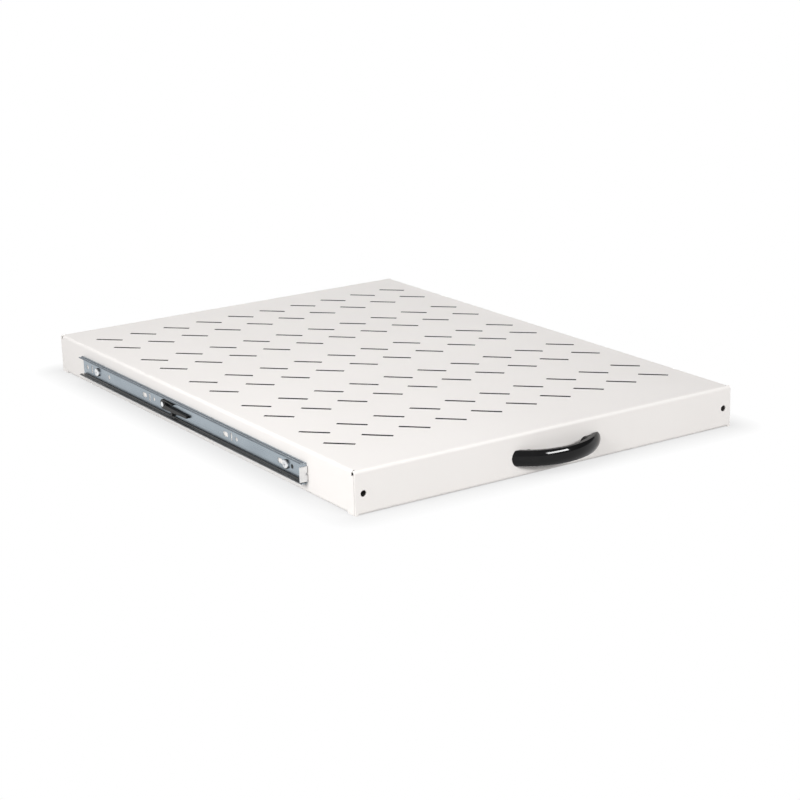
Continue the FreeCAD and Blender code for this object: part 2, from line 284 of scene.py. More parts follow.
def grow(loop, border):
    """Outline that lies a border outside a counter-clockwise loop."""
    grown = []
    for before, here, after in zip(loop[-1:] + loop[:-1], loop, loop[1:] + loop[:1]):
        first = (Vector(here) - Vector(before)).normalized()
        second = (Vector(after) - Vector(here)).normalized()
        outward = Vector((first.y + second.y, -first.x - second.x))
        grown.append(Vector(here) + outward * border / (1 + first.dot(second)))
    return grown


def panel(bm, outline, holes, place, rim=HOLE_RIM):
    """Flat piece of sheet with counter-clockwise holes. place turns a flat point into a point in space."""
    points = []
    loops = []
    borders = [grow(hole, rim) for hole in holes] if rim else []
    for loop in [outline] + holes + borders:
        loops.append(list(range(len(points), len(points) + len(loop))))
        points += [Vector(point) for point in loop]
    edges = [pair for loop in loops[1 + len(holes):] for pair in zip(loop, loop[1:] + loop[:1])]
    faces = loops[:1 + len(holes)]
    keep_inside = 1
    flat, _, triangles, _, _, sources = delaunay_2d_cdt(points, edges, faces, keep_inside, FLAT_TOLERANCE)
    verts = [bm.verts.new(place(*point)) for point in flat]
    for corners, loops_around in zip(triangles, sources):
        if loops_around == [0]:
            bm.faces.new([verts[k] for k in corners])
    bmesh.ops.delete(bm, geom=[vert for vert in verts if not vert.link_faces], context="VERTS")


def ribbon(bm, section, first, last, place):
    """Strip of sheet swept straight from first to last along a section line."""
    near, far = [[bm.verts.new(place(along, *point)) for point in section] for along in (first, last)]
    for k in range(len(section) - 1):
        bm.faces.new((near[k], near[k + 1], far[k + 1], far[k]))


def join_sheet(bm):
    """Join the panels and ribbons of a sheet along their common edges."""
    bmesh.ops.remove_doubles(bm, verts=bm.verts, dist=JOIN_DISTANCE)
    bmesh.ops.recalc_face_normals(bm, faces=bm.faces)


def lathe(bm, profile, spot, shape=None):
    """Turned surface about local Z through (radius, height) pairs; shape may change a radius."""
    rings = []
    for radius, height in profile:
        if radius == 0:
            rings.append([bm.verts.new(spot @ Vector((0, 0, height)))] * LATHE_SIDES)
            continue
        ring = []
        for k in range(LATHE_SIDES):
            angle = 2 * math.pi * k / LATHE_SIDES
            out = shape(radius, height, angle) if shape else radius
            ring.append(bm.verts.new(spot @ Vector((out * math.cos(angle), out * math.sin(angle), height))))
        rings.append(ring)
    for low, high in zip(rings, rings[1:]):
        for k in range(LATHE_SIDES):
            after = (k + 1) % LATHE_SIDES
            corners = [low[k], low[after], high[after], high[k]]
            bm.faces.new(list(dict.fromkeys(corners)))


def stand(node, axis, below=0.0):
    """Matrix that stands a turned piece in its node's box, with this much of it below its origin."""
    foot = node_centre(node) + axis * (below - length_along(node, axis) / 2)
    return stand_at(foot, axis)


# Materials

def new_material(name):
    """Material with its node tree, its shader and an object coordinate."""
    material = bpy.data.materials.new(name)
    material.use_nodes = True
    tree = material.node_tree
    coordinate = tree.nodes.new("ShaderNodeTexCoord")
    return material, tree, tree.nodes["Principled BSDF"], coordinate.outputs["Object"]


def noise(tree, place, scale, detail=2.0, stretch=(1, 1, 1)):
    """Noise pattern with a size per metre, stretched along the axes."""
    mapping = tree.nodes.new("ShaderNodeMapping")
    mapping.inputs["Scale"].default_value = stretch
    tree.links.new(place, mapping.inputs["Vector"])
    texture = tree.nodes.new("ShaderNodeTexNoise")
    texture.inputs["Scale"].default_value = scale
    texture.inputs["Detail"].default_value = detail
    tree.links.new(mapping.outputs["Vector"], texture.inputs["Vector"])
    return texture.outputs["Fac"]


def roughen(tree, value, shader, low, high):
    """Lead a pattern into a shader's roughness as a range of numbers."""
    reach = tree.nodes.new("ShaderNodeMapRange")
    reach.inputs["From Min"].default_value = NOISE_LOW
    reach.inputs["From Max"].default_value = NOISE_HIGH
    reach.inputs["To Min"].default_value = low
    reach.inputs["To Max"].default_value = high
    tree.links.new(value, reach.inputs["Value"])
    tree.links.new(reach.outputs["Result"], shader.inputs["Roughness"])


def tint(tree, value, shader, first, second):
    """Lead a pattern into a shader's colour as a change between two colours."""
    ramp = tree.nodes.new("ShaderNodeValToRGB")
    ramp.color_ramp.elements[0].position = NOISE_LOW
    ramp.color_ramp.elements[0].color = (*first, 1)
    ramp.color_ramp.elements[1].position = NOISE_HIGH
    ramp.color_ramp.elements[1].color = (*second, 1)
    tree.links.new(value, ramp.inputs["Fac"])
    tree.links.new(ramp.outputs["Color"], shader.inputs["Base Color"])


def relief(tree, value, shader, depth):
    """Fine bumps of a depth in millimetres."""
    bump = tree.nodes.new("ShaderNodeBump")
    bump.inputs["Strength"].default_value = BUMP_STRENGTH
    bump.inputs["Distance"].default_value = depth * MM
    tree.links.new(value, bump.inputs["Height"])
    tree.links.new(bump.outputs["Normal"], shader.inputs["Normal"])


def powder_coat():
    """Satin light grey coat with an orange-peel skin."""
    material, tree, shader, place = new_material("powder_coat")
    shader.inputs["Specular IOR Level"].default_value = 0.3
    tint(tree, noise(tree, place, scale=7), shader, (0.84, 0.812, 0.786), (0.82, 0.792, 0.766))
    roughen(tree, noise(tree, place, scale=500), shader, low=0.48, high=0.58)
    relief(tree, noise(tree, place, scale=900), shader, depth=0.012)
    return material


def painted_shade_coat():
    """Near-black painted shade on the cut walls of the slots, the side holes and the front corner reliefs,
    standing in for the shade inside them.
    """
    material, tree, shader, place = new_material("painted_shade_coat")
    tint(tree, noise(tree, place, scale=300), shader, (0.03, 0.029, 0.028), (0.018, 0.0175, 0.017))
    roughen(tree, noise(tree, place, scale=600), shader, low=0.5, high=0.7)
    relief(tree, noise(tree, place, scale=1500), shader, depth=0.03)
    return material


def zinc_rail():
    """Zinc-plated strip with draw lines along the rail."""
    material, tree, shader, place = new_material("zinc_rail")
    shader.inputs["Metallic"].default_value = 1.0
    lines = noise(tree, place, scale=900, detail=3, stretch=(1, 0.012, 1))
    clouds = noise(tree, place, scale=60, detail=3, stretch=(1, 0.4, 1))
    tint(tree, clouds, shader, (0.385, 0.44, 0.485), (0.33, 0.38, 0.425))
    roughen(tree, lines, shader, low=0.23, high=0.29)
    relief(tree, lines, shader, depth=0.002)
    return material


def shaded_groove_zinc():
    """Darker zinc on the inner faces of the ball grooves: painted shade and painted dark reflection inside
    the channel.
    """
    material, tree, shader, place = new_material("shaded_groove_zinc")
    shader.inputs["Metallic"].default_value = 1.0
    shade_mottle = noise(tree, place, scale=200, detail=3, stretch=(1, 0.05, 1))
    tint(tree, shade_mottle, shader, (0.27, 0.265, 0.255), (0.2, 0.195, 0.19))
    roughen(tree, shade_mottle, shader, low=0.2, high=0.34)
    relief(tree, shade_mottle, shader, depth=0.004)
    return material


def painted_highlight_zinc():
    """Painted highlight: a much lighter copy of the rail's zinc on the bent tab and on the punched walls of
    the web, standing in for their bright reflections.
    """
    material, tree, shader, place = new_material("painted_highlight_zinc")
    shader.inputs["Metallic"].default_value = 1.0
    tint(tree, noise(tree, place, scale=300), shader, (0.86, 0.87, 0.87), (0.78, 0.79, 0.8))
    roughen(tree, noise(tree, place, scale=700), shader, low=0.3, high=0.45)
    relief(tree, noise(tree, place, scale=1500), shader, depth=0.012)
    return material


def zinc_fastener():
    """Bright zinc on small turned pieces."""
    material, tree, shader, place = new_material("zinc_fastener")
    shader.inputs["Metallic"].default_value = 1.0
    tint(tree, noise(tree, place, scale=400), shader, (0.92, 0.93, 0.94), (0.84, 0.85, 0.86))
    roughen(tree, noise(tree, place, scale=900), shader, low=0.2, high=0.36)
    relief(tree, noise(tree, place, scale=2500), shader, depth=0.01)
    return material


def handle_plastic():
    """Gloss black moulding."""
    material, tree, shader, place = new_material("handle_plastic")
    shader.inputs["Specular IOR Level"].default_value = 0.22
    tint(tree, noise(tree, place, scale=120), shader, (0.004, 0.004, 0.0042), (0.006, 0.006, 0.0063))
    roughen(tree, noise(tree, place, scale=250), shader, low=0.05, high=0.09)
    relief(tree, noise(tree, place, scale=160), shader, depth=0.004)
    return material


def lever_plastic():
    """Satin black moulding with a fine grain."""
    material, tree, shader, place = new_material("lever_plastic")
    shader.inputs["Specular IOR Level"].default_value = 0.3
    tint(tree, noise(tree, place, scale=200), shader, (0.008, 0.008, 0.008), (0.014, 0.013, 0.013))
    roughen(tree, noise(tree, place, scale=700), shader, low=0.34, high=0.48)
    relief(tree, noise(tree, place, scale=1800), shader, depth=0.02)
    return material


# Tray

def slot_outlines(width, depth):
    """Slanted slots in rows that stand in pairs, from the middle of the front edge."""
    along = Vector((math.cos(SLOT_ANGLE), math.sin(SLOT_ANGLE))) * SLOT_LENGTH / 2
    across = Vector((-math.sin(SLOT_ANGLE), math.cos(SLOT_ANGLE))) * SLOT_WIDTH / 2
    corners = [-along - across, along - across, along + across, across - along]
    column_pitch = (width - 2 * SLOT_MARGIN) / (SLOT_COLUMNS - 1)
    pair_pitch = (depth - FIRST_ROW - ROW_PITCH - LAST_ROW) / (ROW_PAIRS - 1)
    outlines = []
    for row in range(2 * ROW_PAIRS):
        y = FIRST_ROW + (row // 2) * pair_pitch + (row % 2) * ROW_PITCH
        for column in range(SLOT_COLUMNS):
            x = SLOT_MARGIN - width / 2 + column * column_pitch
            outlines.append([(x + corner.x, y + corner.y) for corner in corners])
    return outlines


def make_tray(coat, shade_coat):
    """Folded tray as one sheet: deck, sides and lips joined by round bends."""
    low, high = node_box("tray")
    width, depth, height = high - low
    side = width / 2
    half = SHEET / 2
    middle = BEND_RADIUS - half
    top = height - BEND_RADIUS
    flat = side - BEND_RADIUS
    relief_end = BEND_RADIUS + CORNER_RELIEF
    slit_end = SHEET + CORNER_GAP
    lip_end = LIP_WIDTH + CORNER_GAP
    upper_bend = arc((BEND_RADIUS, top), middle, 90, 180)
    lower_bend = arc((BEND_RADIUS, BEND_RADIUS), middle, 180, 270) + [(LIP_WIDTH, half)]
    handle = node_centre("handle")
    bm = bmesh.new()

    def on_deck(x, y):
        return Vector((x, low.y + y, high.z - half))

    deck = [(-flat, BEND_RADIUS), (flat, BEND_RADIUS), (flat, relief_end), (flat, depth - relief_end),
            (flat, depth - BEND_RADIUS), (-flat, depth - BEND_RADIUS), (-flat, depth - relief_end),
            (-flat, relief_end)]
    panel(bm, deck, slot_outlines(width, depth), on_deck)

    ends = [(-side, 0), (-flat, 0), (-flat, BEND_RADIUS), (flat, BEND_RADIUS), (flat, 0), (side, 0),
            (side, top), (flat, top), (-flat, top), (-side, top)]
    front_holes = [circle((s * (side - FRONT_HOLE_INSET), FRONT_HOLE_RISE), FRONT_HOLE) for s in (-1, 1)]
    front_holes += [circle((handle.x + s * HANDLE_CENTRES / 2, handle.z), SCREW_HOLE) for s in (-1, 1)]
    for holes, start, inward in ((front_holes, low.y, 1), ([], high.y, -1)):
        def at_end(along, inset, up):
            return Vector((along, start + inward * inset, up))
        for first, last in ((-side, -flat), (-flat, flat), (flat, side)):
            ribbon(bm, upper_bend, first, last, at_end)
        ribbon(bm, lower_bend, -flat, flat, at_end)
        panel(bm, ends, holes, lambda along, up: at_end(along, half, up))

    wall = [(slit_end, 0), (lip_end, 0), (lip_end, BEND_RADIUS), (depth - lip_end, BEND_RADIUS),
            (depth - lip_end, 0), (depth - slit_end, 0), (depth - slit_end, height - relief_end),
            (depth - relief_end, height - relief_end), (depth - relief_end, top), (relief_end, top),
            (relief_end, height - relief_end), (slit_end, height - relief_end)]
    for name, start, inward in (("left", low.x, 1), ("right", high.x, -1)):
        def at_side(along, inset, up):
            return Vector((start + inward * inset, low.y + along, up))
        holes = []
        for end in ("front", "rear"):
            screw = node_centre(f"{name}_{end}_rail_screw")
            holes.append(circle((screw.y - low.y, screw.z), SCREW_HOLE))
        rail_low, rail_high = node_box(f"{name}_rail")
        rail_middle = (rail_low.z + rail_high.z) / 2
        holes.append(circle((rail_low.y + STATIONS[0] - low.y, rail_middle), STATION_HOLE))
        ribbon(bm, upper_bend, relief_end, depth - relief_end, at_side)
        ribbon(bm, lower_bend, lip_end, depth - lip_end, at_side)
        panel(bm, wall, holes, lambda along, up: at_side(along, half, up))

    join_sheet(bm)
    piece = make_piece("tray", "shelf", bm, [coat, shade_coat])
    modify(piece, "SOLIDIFY", thickness=SHEET * MM, offset=0, use_even_offset=True)
    soften_edges(piece, EDGE_BREAK)
    # Painted shade: the cut walls of the slots, the side holes and the front corner reliefs take the
    # near-black second material.
    for face in piece.data.polygons:
        spot = face.center / MM
        inset = min(spot.y - low.y, high.y - spot.y)
        flank = side - abs(spot.x)
        in_deck = spot.z > height - SHEET and min(flank, inset) > relief_end
        in_side = flank < SHEET and LIP_WIDTH < spot.z < top and inset > lip_end
        in_relief = abs(spot.y - low.y - relief_end) < EDGE_BREAK and flank < BEND_RADIUS
        slot_wall = in_deck and abs(face.normal.z) < LEVEL_SHARE
        hole_wall = in_side and abs(face.normal.x) < CROSS_SHARE
        relief_wall = in_relief and abs(face.normal.y) > CROSS_SHARE
        if slot_wall or hole_wall or relief_wall:
            face.material_index = CUT_FACE


# Slide rail

def flange_line():
    """Middle line of the rail's upper flange: round shoulder, ball groove and flared lip, as (out, up)."""
    half = RAIL_STRIP / 2
    low, high = node_box("left_rail")
    shoulder = (high.z - low.z) / 2 - RAIL_BEND - half
    turn = 90 + FLARE_ANGLE
    line = arc((half + RAIL_BEND, shoulder), RAIL_BEND, 180, 180 - turn)
    slope = math.radians(FLARE_ANGLE)
    x, y = line[-1]
    groove = (x + GROOVE_RADIUS * math.sin(slope), y + GROOVE_RADIUS * math.cos(slope))
    line += arc(groove, GROOVE_RADIUS, 270 - FLARE_ANGLE, 270 + FLARE_ANGLE)[1:]
    x, y = line[-1]
    return line + [(x + RAIL_LIP * math.cos(slope), y + RAIL_LIP * math.sin(slope))]


def web_holes(name, start, length, middle):
    """Outlines of the holes and slots in a rail's web, from its front end and its middle."""
    holes = []
    for end in ("front", "rear"):
        screw = node_centre(f"{name}_{end}_rail_screw")
        holes.append(circle((screw.y - start, 0), SCREW_HOLE))
    rivet = node_centre(f"{name}_lever_rivet")
    rise = rivet.z - middle
    holes.append(circle((rivet.y - start, rise if name == "left" else -rise), RIVET_HOLE))
    for station in STATIONS:
        holes.append(circle((station, 0), STATION_HOLE))
        holes.append(obround((station + LONG_SLOT_OFFSET, 0), *LONG_SLOT))
    for station in STATIONS[1:]:
        holes.append(obround((station + UPRIGHT_SLOT_OFFSET, 0), *UPRIGHT_SLOT))
    holes.append(obround((length - REAR_UPRIGHT_INSET, 0), *UPRIGHT_SLOT))
    holes += [circle((length - inset, 0), REAR_HOLE) for inset in REAR_HOLE_INSETS]
    return holes


def make_rail(name, zinc, highlight_zinc, groove_zinc):
    """Slide rail as one strip: slotted web, two grooved flanges and a bent tab in front."""
    low, high = node_box(f"{name}_rail")
    length = high.y - low.y
    middle = (low.z + high.z) / 2
    hand = -1 if name == "left" else 1
    back = high.x if name == "left" else low.x
    half = RAIL_STRIP / 2
    flange = flange_line()
    shoulder = flange[0][1]
    bm = bmesh.new()

    def place(along, out, up):
        return Vector((back + hand * out, low.y + along, middle - hand * up))

    for flip in (-1, 1):
        ribbon(bm, [(out, flip * up) for out, up in flange], TAB_TRIM, length, place)
    bend_start = half + TAB_BEND
    tab = TAB_HEIGHT / 2
    notch = TAB_NOTCH / 2
    notch_end = TAB_BEND + RAIL_STRIP
    web = [(length, -shoulder), (length, shoulder), (TAB_TRIM, shoulder), (TAB_TRIM, tab),
           (bend_start, tab), (bend_start, notch), (notch_end, notch), (notch_end, -notch),
           (bend_start, -notch), (bend_start, -tab), (TAB_TRIM, -tab), (TAB_TRIM, -shoulder)]
    panel(bm, web, web_holes(name, low.y, length, middle), lambda along, up: place(along, half, up))
    curl = arc((bend_start, bend_start), TAB_BEND, 270, 180)
    for first, last in ((-tab, -notch), (notch, tab)):
        ribbon(bm, curl, first, last, lambda up, along, out: place(along, out, up))
    plate = [(bend_start, -tab), (TAB_REACH, -tab), (TAB_REACH, tab), (bend_start, tab),
             (bend_start, notch), (notch_end, notch), (notch_end, -notch), (bend_start, -notch)]
    panel(bm, plate, [], lambda out, up: place(half, out, up))
    join_sheet(bm)
    piece = make_piece(f"{name}_rail", "shelf", bm, [zinc, highlight_zinc, groove_zinc])
    modify(piece, "SOLIDIFY", thickness=RAIL_STRIP * MM, offset=0, use_even_offset=True)
    soften_edges(piece, EDGE_BREAK)
    for face in piece.data.polygons:
        spot = face.center / MM
        rise = spot.z - middle
        in_tab = spot.y < low.y + TAB_TRIM - EDGE_BREAK and abs(rise) < tab + EDGE_BREAK
        in_web = abs(spot.x - back) < RAIL_STRIP and abs(rise) < shoulder - RAIL_STRIP
        # Painted highlight: the bent tab and the punched walls of the web take the much lighter zinc.
        if in_tab or in_web and abs(face.normal.x) < UPRIGHT_SHARE:
            face.material_index = CUT_FACE
        # Painted shade: the inner faces of both grooves take the darker zinc.
        elif abs(rise) > shoulder and face.normal.z * rise < 0:
            face.material_index = GROOVE_FACE


# Release lever

def lever_front():
    """Outline as (forward, up) from the pivot's top to its foot: finger, eye, tapered arm and heel."""
    eye = LEVER_EYE / 2
    fall = FINGER_FALL / FINGER_LENGTH
    under = eye - FINGER_STRIP
    meet = math.degrees(math.asin((under - fall * eye / 2) / eye))
    tip = LEVER_TIP_HEIGHT / 2
    tip_start = LEVER_ARM - tip
    rise = (eye - LEVER_TIP_DROP - tip) / tip_start
    outline = [(0, eye), (FINGER_LENGTH, eye - FINGER_FALL), (FINGER_LENGTH, under - FINGER_FALL)]
    outline += arc((0, 0), eye, meet, 0)
    outline += arc((tip_start, -LEVER_TIP_DROP), tip, 90, -90)
    outline += [(HEEL_FRONT, rise * HEEL_FRONT - eye), (HEEL_FRONT, -HEEL_DROP), (HEEL_REAR, -HEEL_DROP),
                (HEEL_REAR, rise * HEEL_REAR - eye), (0, -eye)]
    return outline


def make_lever(name, material):
    """Release lever, a front and a rear half about its bore, rounded along the edges."""
    middle = node_centre(f"{name}_release_lever")
    pivot = node_centre(f"{name}_lever_rivet")
    hand = -1 if name == "left" else 1
    bore = LEVER_BORE / 2
    front = lever_front() + arc((0, 0), bore, 270, 450)
    rear = arc((0, 0), LEVER_EYE / 2, 270, 90) + arc((0, 0), bore, 90, 270)
    bm = bmesh.new()
    for half in (front, rear):
        bm.faces.new([bm.verts.new((middle.x, pivot.y - forward, pivot.z - hand * up))
                      for forward, up in half])
    join_sheet(bm)
    piece = make_piece(f"{name}_release_lever", f"{name}_lever", bm, [material])
    modify(piece, "SOLIDIFY", thickness=LEVER_THICKNESS * MM, offset=0, use_even_offset=True)
    soften_edges(piece, LEVER_EDGE, segments=3)


# Fasteners

def thread(radius, height, angle):
    """Radius on a screw thread at a height and an angle."""
    turn = (height / THREAD_PITCH - angle / (2 * math.pi)) % 1
    return radius - THREAD_DEPTH * abs(2 * turn - 1)


def cross_recess(bm, spot):
    """Top of a pan head: a flat ring round a cross recess with tapered walls."""
    reach = RECESS_SPAN / 2
    wide = RECESS_WIDTH / 2
    depth = HEAD_HEIGHT - RECESS_DEPTH
    cross = []
    for quarter in range(4):
        turn = Matrix.Rotation(math.pi / 2 * quarter, 2)
        cross += [turn @ Vector(point) for point in ((reach, -wide), (reach, wide), (wide, wide))]
    floor = [p * RECESS_TAPER for p in cross]
    ring = [(RECESS_RIM * math.cos(a), RECESS_RIM * math.sin(a))
            for a in (2 * math.pi * k / LATHE_SIDES for k in range(LATHE_SIDES))]
    panel(bm, ring, [[tuple(p) for p in cross]], lambda x, y: spot @ Vector((x, y, HEAD_HEIGHT)), rim=0)
    upper = [bm.verts.new(spot @ Vector((p.x, p.y, HEAD_HEIGHT))) for p in cross]
    lower = [bm.verts.new(spot @ Vector((p.x, p.y, depth))) for p in floor]
    for k in range(len(cross)):
        after = (k + 1) % len(cross)
        bm.faces.new((upper[k], upper[after], lower[after], lower[k]))
    panel(bm, [tuple(p) for p in floor], [], lambda x, y: spot @ Vector((x, y, depth)))


def make_screw(node, axis, material):
    """Pan-head screw with a thread and a cross recess."""
    length = length_along(node, axis) - HEAD_HEIGHT
    spot = stand(node, axis, length)
    core = SCREW_SIZE / 2 - THREAD_DEPTH
    head = HEAD_DIAMETER / 2
    rise = HEAD_HEIGHT - HEAD_EDGE
    bm = bmesh.new()
    turns = math.floor((length - THREAD_PITCH) / THREAD_PITCH * THREAD_STEPS)
    heights = [-length + THREAD_PITCH * (0.5 + k / THREAD_STEPS) for k in range(turns)]
    lathe(bm, [(0, -length), (core, -length), (core + THREAD_DEPTH / 2, heights[0])], spot)
    lathe(bm, [(SCREW_SIZE / 2, height) for height in heights], spot, thread)
    crown = [(RECESS_RIM + (head - RECESS_RIM) * math.cos(a), HEAD_EDGE + rise * math.sin(a))
             for a in (math.radians(90 * k / CROWN_STEPS) for k in range(CROWN_STEPS + 1))]
    lathe(bm, [(core + THREAD_DEPTH / 2, heights[-1]), (SCREW_SIZE / 2, 0), (head - EDGE_BREAK, 0),
               (head, EDGE_BREAK)] + crown, spot)
    cross_recess(bm, spot)
    join_sheet(bm)
    piece = make_piece(node, "shelf", bm, [material])
    shade_round(piece, TURNED_EDGE_ANGLE)


def make_turned(node, axis, profile, material, shape=None):
    """Turned piece of hardware from its closed profile."""
    bm = bmesh.new()
    lathe(bm, profile, stand(node, axis), shape)
    join_sheet(bm)
    piece = make_piece(node, "shelf", bm, [material])
    shade_round(piece, TURNED_EDGE_ANGLE)


def make_rivet(node, axis, material):
    """Rivet with a low rounded head."""
    length = length_along(node, axis)
    seat = length - RIVET_HEAD_HEIGHT
    head = RIVET_HEAD / 2
    crown = arc((head - RIVET_EDGE, length - RIVET_DOME - RIVET_EDGE), RIVET_EDGE, 0, 90)
    profile = [(0, 0), (RIVET_SIZE / 2, 0), (RIVET_SIZE / 2, seat), (head - EDGE_BREAK, seat),
               (head, seat + EDGE_BREAK)] + crown + [(head / 2, length), (0, length)]
    make_turned(node, axis, profile, material)


def make_washer(node, axis, material):
    """Flat washer, broken at the lower edge and rounded at the upper one."""
    low, high = node_box(node)
    thick = length_along(node, axis)
    outer = (high.z - low.z) / 2
    bore = WASHER_BORE / 2
    burr = EDGE_BREAK / 2
    curve = EDGE_BREAK / 3
    profile = [(bore, 0), (outer - burr, 0), (outer, burr), (outer, thick - EDGE_BREAK),
               (outer - curve, thick - curve), (outer - EDGE_BREAK, thick), (bore, thick), (bore, 0)]
    make_turned(node, axis, profile, material)


def make_nut(node, axis, material):
    """Hexagon nut with its corners chamfered at both ends."""
    tall = length_along(node, axis)
    flat = NUT_ACROSS_FLATS / 2
    corner = flat / math.cos(math.pi / 6)
    bore = SCREW_SIZE / 2 - THREAD_DEPTH / 2

    def hexagon(radius, height, angle):
        off = (angle + math.pi / 6) % (math.pi / 3) - math.pi / 6
        return min(radius, flat / math.cos(off))

    profile = [(bore, 0), (bore + NUT_CHAMFER, 0), (flat, 0), (corner, NUT_CHAMFER),
               (corner, tall - NUT_CHAMFER), (flat, tall), (bore + NUT_CHAMFER, tall),
               (bore, tall - NUT_CHAMFER), (bore, 0)]
    make_turned(node, axis, profile, material, hexagon)


def make_fasteners(material):
    """Every screw, washer, nut and rivet."""
    rear = Vector((0, 1, 0))
    for name, hand in (("left", -1), ("right", 1)):
        outward = Vector((hand, 0, 0))
        for end in ("front", "rear"):
            make_screw(f"{name}_{end}_rail_screw", outward, material)
            make_washer(f"{name}_{end}_rail_washer", -outward, material)
            make_nut(f"{name}_{end}_rail_nut", -outward, material)
        make_rivet(f"{name}_lever_rivet", outward, material)
        make_screw(f"{name}_handle_screw", rear, material)
        make_washer(f"{name}_handle_washer", rear, material)


# Handle

def solid_object(bm):
    """Helper object from a mesh in millimetres."""
    bmesh.ops.scale(bm, vec=(MM, MM, MM), verts=bm.verts)
    bmesh.ops.recalc_face_normals(bm, faces=bm.faces)
    mesh = bpy.data.meshes.new("helper")
    bm.to_mesh(mesh)
    bm.free()
    helper = bpy.data.objects.new("helper", mesh)
    bpy.context.scene.collection.objects.link(helper)
    return helper


def combine(piece, helper, operation):
    """Add, cut or trim a piece with a helper, which is then removed."""
    modify(piece, "BOOLEAN", object=helper, operation=operation, solver="EXACT")
    mesh = helper.data
    bpy.data.objects.remove(helper)
    bpy.data.meshes.remove(mesh)


def drum(centre, radius, axis, length):
    """Round helper from a centre along an axis."""
    bm = bmesh.new()
    lathe(bm, [(0, 0), (radius, 0), (radius, length), (0, length)], stand_at(centre, axis))
    return solid_object(bm)


def handle_bow(axis, radius, half_height, plane):
    """Arched bar with a crowned front, cut off where it meets the panel."""
    rim = radius - HANDLE_CROWN
    inner = radius - HANDLE_THICKNESS
    crown = (half_height ** 2 + HANDLE_CROWN ** 2) / (2 * HANDLE_CROWN)
    tilt = math.degrees(math.asin(half_height / crown))
    front = arc((radius - crown, 0), crown, -tilt, tilt)
    section = [(rim, -half_height), *front[1:-1], (rim, half_height),
               (inner, half_height), (inner, -half_height)]
    swing = BOW_OVERRUN * math.acos((axis.y - plane) / radius)
    bm = bmesh.new()
    rings = []
    for k in range(BOW_STEPS + 1):
        angle = -math.pi / 2 + swing * (2 * k / BOW_STEPS - 1)
        out = Vector((math.cos(angle), math.sin(angle), 0))
        rings.append([bm.verts.new(axis + out * r + Vector((0, 0, up))) for r, up in section])
    for near, far in zip(rings, rings[1:]):
        for k in range(len(section)):
            after = (k + 1) % len(section)
            bm.faces.new((near[k], near[after], far[after], far[k]))
    everything = bm.verts[:] + bm.edges[:] + bm.faces[:]
    cut = bmesh.ops.bisect_plane(bm, geom=everything, plane_co=(0, plane, 0), plane_no=(0, 1, 0),
                                 clear_outer=True)
    edges = [item for item in cut["geom_cut"] if isinstance(item, bmesh.types.BMEdge)]
    bmesh.ops.holes_fill(bm, edges=edges)
    bmesh.ops.recalc_face_normals(bm, faces=bm.faces)
    return bm


def handle_foot(seat, side, reach, length):
    """Boss and the rib that joins it to the bow's end, as one bar out of the panel."""
    radius = BOSS_DIAMETER / 2
    round_end = arc((0, 0), radius, 90, 270)
    outline = [(side * x, z) for x, z in round_end] + [(side * length, -radius), (side * length, radius)]
    bm = bmesh.new()
    front, back = [[bm.verts.new(seat + Vector((x, y, z))) for x, z in outline] for y in (-reach, 0)]
    bm.faces.new(front)
    bm.faces.new(back)
    for k in range(len(outline)):
        after = (k + 1) % len(outline)
        bm.faces.new((front[k], front[after], back[after], back[k]))
    return solid_object(bm)


def make_handle(material):
    """Bow handle with its two feet and their screw holes."""
    low, high = node_box("handle")
    chord = (high.x - low.x) / 2
    reach = high.y - low.y
    half_height = (high.z - low.z) / 2
    radius = (chord ** 2 + reach ** 2) / (2 * reach)
    axis = Vector(((low.x + high.x) / 2, low.y + radius, (low.z + high.z) / 2))
    bow = handle_bow(axis, radius, half_height, high.y)
    piece = make_piece("handle", "shelf", bow, [material])
    bevel(piece, HANDLE_EDGE, 3, TURNED_EDGE_ANGLE)
    boss = BOSS_DIAMETER / 2
    wall = radius - HANDLE_THICKNESS + HANDLE_CROWN
    for side in (-1, 1):
        seat = Vector((axis.x + side * HANDLE_CENTRES / 2, high.y, axis.z))
        foot = handle_foot(seat, side, reach, chord)
        below = axis - Vector((0, 0, boss + CUT_MARGIN))
        inside = drum(below, wall, Vector((0, 0, 1)), BOSS_DIAMETER + 2 * CUT_MARGIN)
        combine(foot, inside, "INTERSECT")
        combine(piece, foot, "UNION")
        start = seat + Vector((0, CUT_MARGIN, 0))
        bore = drum(start, SCREW_SIZE / 2, Vector((0, -1, 0)), BORE_DEPTH + CUT_MARGIN)
        combine(piece, bore, "DIFFERENCE")
    shade_round(piece, TURNED_EDGE_ANGLE)
    return piece


# Studio

FLOOR_SIZE = 40.0
FLOOR_COLOUR = (0.45, 0.45, 0.45, 1)
FLOOR_SEEN = (0.57, 0.57, 0.57, 1)
GLOW_NEAR = 0.6
GLOW_DISTANCE = 0.035
SKY_LEFT = (0.64, 0.64, 0.65, 1)
SKY_RIGHT = (0.12, 0.12, 0.125, 1)
BACKDROP_COLOUR = (1, 1, 1, 1)
BACKDROP_TOP = 0.2
BACKDROP_FADE = 0.12


def combine_values(tree, operation, first, second):
    """Two numbers put together by one operation."""
    node = tree.nodes.new("ShaderNodeMath")
    node.operation = operation
    tree.links.new(first, node.inputs[0])
    tree.links.new(second, node.inputs[1])
    return node.outputs["Value"]


def seen_rays(tree):
    """One for a ray that shows the background to the eye, straight or in a reflection."""
    path = tree.nodes.new("ShaderNodeLightPath")
    seen = path.outputs["Is Camera Ray"]
    for kind in ("Is Glossy Ray", "Is Transmission Ray"):
        seen = combine_values(tree, "MAXIMUM", seen, path.outputs[kind])
    return seen


